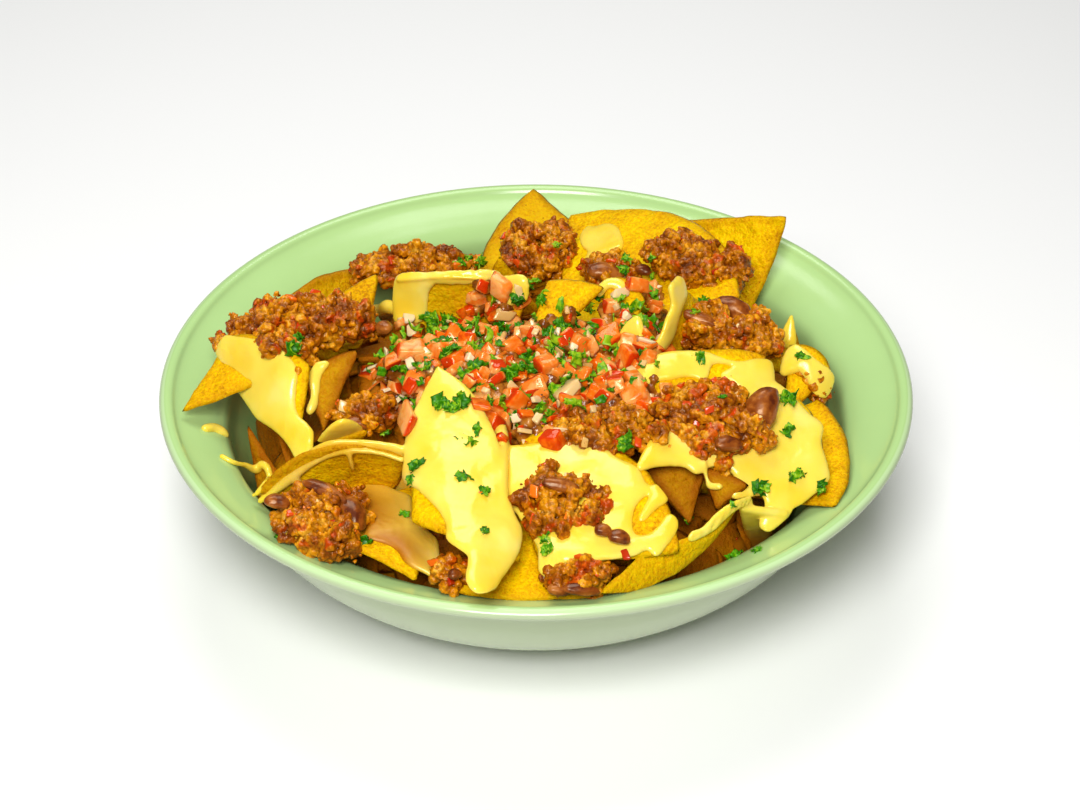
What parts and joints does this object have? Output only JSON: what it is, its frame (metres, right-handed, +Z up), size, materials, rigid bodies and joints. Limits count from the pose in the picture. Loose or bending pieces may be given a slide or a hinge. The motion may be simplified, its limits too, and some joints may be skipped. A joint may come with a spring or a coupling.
{
  "type": "nachos in a bowl",
  "caption": "Tortilla chips heaped in a shallow round bowl with cheese sauce, chili con carne with beans, and a mound of tomato and onion salsa",
  "frame": {"origin": "centre of the bowl's foot, on the table", "axes": "+Z up, -Y towards the side that faces the viewer, +X to the viewer's right"},
  "size_m": [0.26, 0.26, 0.0944],
  "materials": {
    "mint_glaze": "smooth mint green gloss",
    "corn_chip": "dry, blistered fried corn",
    "cheese_sauce": "smooth glossy cheese sauce",
    "chili": "moist minced meat in red-brown sauce",
    "bean": "wet dark red bean skin",
    "salsa": "wet diced tomato and onion",
    "heap": "shaded fried corn"
  },
  "bodies": {
    "root": {"bowl": "mint_glaze", "chip_front": "corn_chip", "chip_arch_front": "corn_chip", "chip_front_left": "corn_chip", "chip_front_right": "corn_chip", "chip_right_front": "corn_chip", "chip_right_wall": "corn_chip", "chip_front_round": "corn_chip", "chip_right_middle": "corn_chip", "chip_left_tip": "corn_chip", "chip_left_coated": "corn_chip", "chip_left_inner": "corn_chip", "chip_upright": "corn_chip", "chip_lean": "corn_chip", "chip_back_round": "corn_chip", "chip_over_rim": "corn_chip", "chip_back_wall": "corn_chip", "chip_leaf": "corn_chip", "chip_left_wall": "corn_chip", "chip_sail": "corn_chip", "chip_peak_right": "corn_chip", "chip_right_spike": "corn_chip", "chip_right_fold": "corn_chip", "chip_front_low": "corn_chip", "chip_cave_side": "corn_chip", "chip_cave": "corn_chip", "chip_gap_tall": "corn_chip", "chip_gap_thin": "corn_chip", "chip_left_small": "corn_chip", "chip_peak": "corn_chip", "chip_bit_back": "corn_chip", "chip_arch_back": "corn_chip", "cheese_front": "cheese_sauce", "cheese_front_right": "cheese_sauce", "cheese_right": "cheese_sauce", "cheese_right_middle": "cheese_sauce", "cheese_left": "cheese_sauce", "cheese_front_left": "cheese_sauce", "cheese_back": "cheese_sauce", "bean_right": "bean", "bean_back": "bean", "bean_front_left": "bean", "chili_back_left": "chili", "chili_back": "chili", "chili_back_right": "chili", "chili_back_middle": "chili", "chili_right_back": "chili", "chili_right": "chili", "chili_middle": "chili", "chili_right_bit": "chili", "chili_left": "chili", "chili_left_lobe": "chili", "chili_left_inner": "chili", "chili_front_left": "chili", "chili_front_low": "chili", "chili_front": "chili", "chili_front_wall": "chili", "salsa": "salsa", "heap_core": "heap"}
  },
  "joints": []
}
